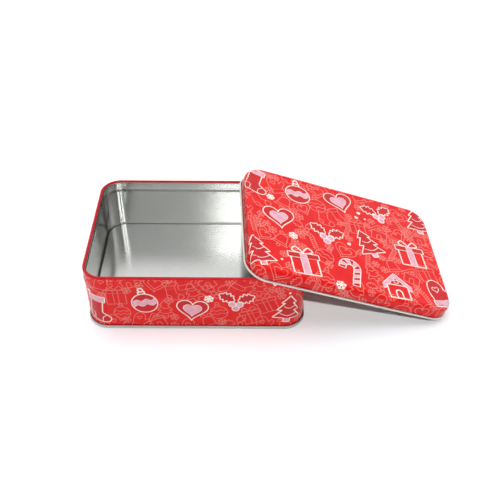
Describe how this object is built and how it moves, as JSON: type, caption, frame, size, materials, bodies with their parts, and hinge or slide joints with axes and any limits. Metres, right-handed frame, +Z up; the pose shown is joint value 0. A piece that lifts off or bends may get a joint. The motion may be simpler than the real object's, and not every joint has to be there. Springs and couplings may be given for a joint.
{
  "type": "cookie tin",
  "caption": "Rectangular printed tinplate cookie tin with rounded corners, rolled rim and double-seamed base, its slip lid off and leaning on one end.",
  "frame": {"origin": "middle of the whole object's box, on the surface it stands on", "axes": "+X along the tin's length towards the leaning lid, +Y from the front wall to the back wall, +Z up"},
  "size_m": [0.3404, 0.157, 0.0828],
  "materials": {
    "printed_tinplate": "glossy red litho print outside, bare tinplate inside",
    "bare_tinplate": "bright rolled tinplate"
  },
  "bodies": {
    "tin": {"tin_wall": "printed_tinplate", "base_panel": "bare_tinplate"},
    "lid": {"lid": "printed_tinplate"}
  },
  "joints": [
    {"name": "lid_lift", "type": "slide", "parent": "tin", "child": "lid", "axis": [0, 0, 1], "range_m": [0, 0.12]}
  ]
}
